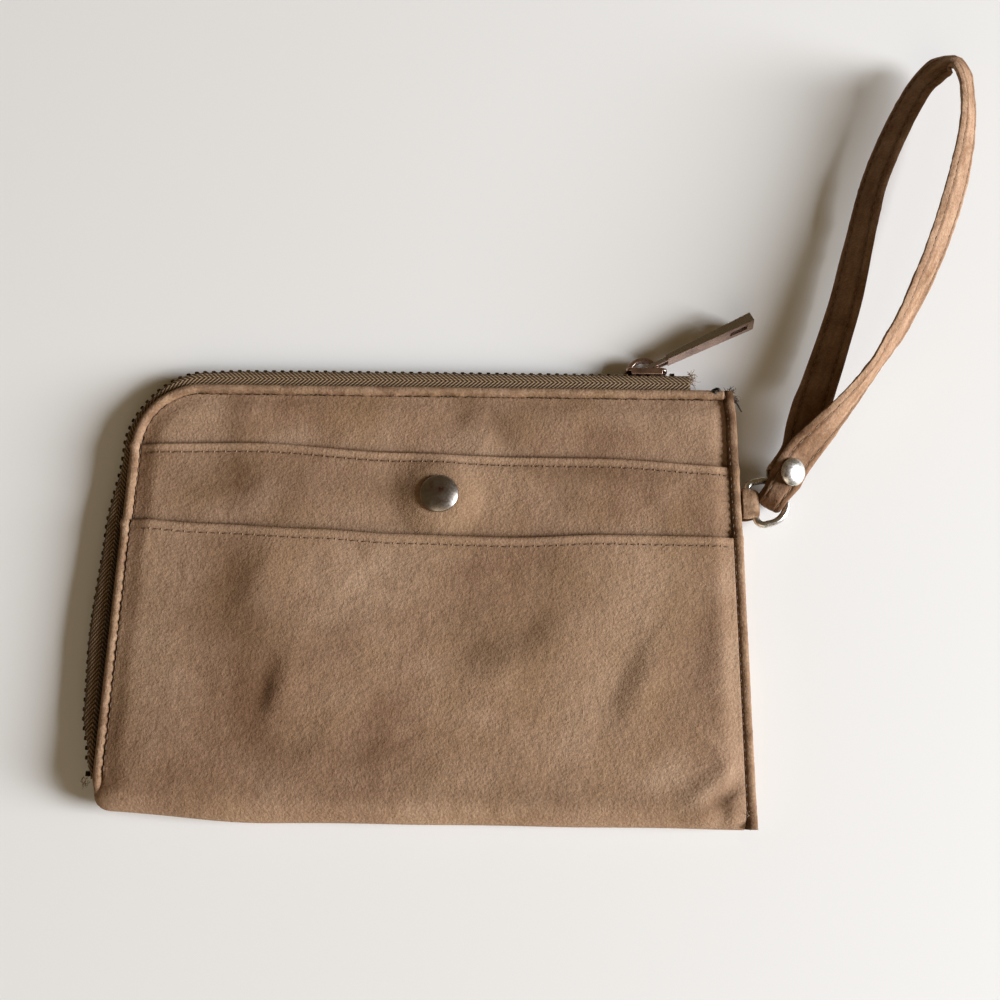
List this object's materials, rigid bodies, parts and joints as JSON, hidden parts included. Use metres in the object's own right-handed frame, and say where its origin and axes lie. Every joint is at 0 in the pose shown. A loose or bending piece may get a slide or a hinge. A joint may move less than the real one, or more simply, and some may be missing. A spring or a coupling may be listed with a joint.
{
  "type": "wristlet clutch purse",
  "caption": "Flat suede clutch with a zip round two sides, a snap-closed slip pocket, an open slip pocket and a wrist strap on a D-ring.",
  "frame": {"origin": "centre of the back face that the clutch lies on", "axes": "+X along the top zip towards the wrist strap, +Y from the bottom fold towards the zip, +Z out of the pocket side"},
  "size_m": [0.2964, 0.2704, 0.0233],
  "materials": {
    "suede": "short nap suede, rubbed and stained",
    "suede_edging": "folded suede strip",
    "strap_suede": "darker handled suede",
    "lining": "plain woven polyester",
    "zip_tape": "herringbone woven tape",
    "zip_metal": "antique plated",
    "slider_metal": "polished gunmetal over copper",
    "snap_metal": "antique nickel, worn",
    "nickel": "bright nickel plate"
  },
  "bodies": {
    "clutch_body": {"shell_back": "suede", "front_panel": "suede", "front_lining": "lining", "back_lining": "lining", "side_binding": "suede_edging", "edging_front": "suede_edging", "edging_back": "suede_edging", "zip_tape_front": "zip_tape", "zip_tape_back": "zip_tape", "zip_teeth_front": "zip_metal", "zip_teeth_back": "zip_metal", "zip_top_stops": "zip_metal", "zip_bottom_stop": "zip_metal", "snap_stud": "snap_metal", "snap_post": "snap_metal", "ring_tab": "suede_edging"},
    "middle_pocket": {"middle_pocket": "suede", "snap_cap": "snap_metal", "snap_socket": "snap_metal"},
    "outer_pocket": {"outer_pocket": "suede"},
    "slider": {"zip_slider": "slider_metal"},
    "puller": {"pull_tab": "slider_metal"},
    "ring": {"d_ring": "nickel"},
    "strap": {"wrist_strap": "strap_suede", "rivet_cap": "nickel", "rivet_base": "nickel"}
  },
  "joints": [
    {"name": "zip_slide", "type": "slide", "parent": "clutch_body", "child": "slider", "axis": [1, 0, 0], "range_m": [-0.138, 0]},
    {"name": "puller_swing", "type": "hinge", "parent": "slider", "child": "puller", "pos_m": [0.0717, 0.07915, 0.0039], "axis": [0, 0, 1], "range_deg": [-22, 75]},
    {"name": "ring_swing", "type": "hinge", "parent": "clutch_body", "child": "ring", "pos_m": [0.1037, 0.031, 0.006], "axis": [0.2419, -0.9703, 0], "range_deg": [0, 65]},
    {"name": "strap_swing", "type": "hinge", "parent": "ring", "child": "strap", "pos_m": [0.11349, 0.03655, 0.006], "axis": [0.8387, -0.5446, 0], "range_deg": [0, 12]},
    {"name": "middle_pocket_open", "type": "hinge", "parent": "clutch_body", "child": "middle_pocket", "pos_m": [0, -0.062, 0.0081], "axis": [1, 0, 0], "range_deg": [0, 6]},
    {"name": "outer_pocket_open", "type": "hinge", "parent": "clutch_body", "child": "outer_pocket", "pos_m": [0, -0.0644, 0.0094], "axis": [1, 0, 0], "range_deg": [0, 10.8]}
  ],
  "couplings": [
    {"joint": "outer_pocket_open", "follows": "middle_pocket_open", "ratio": 1.8}
  ]
}
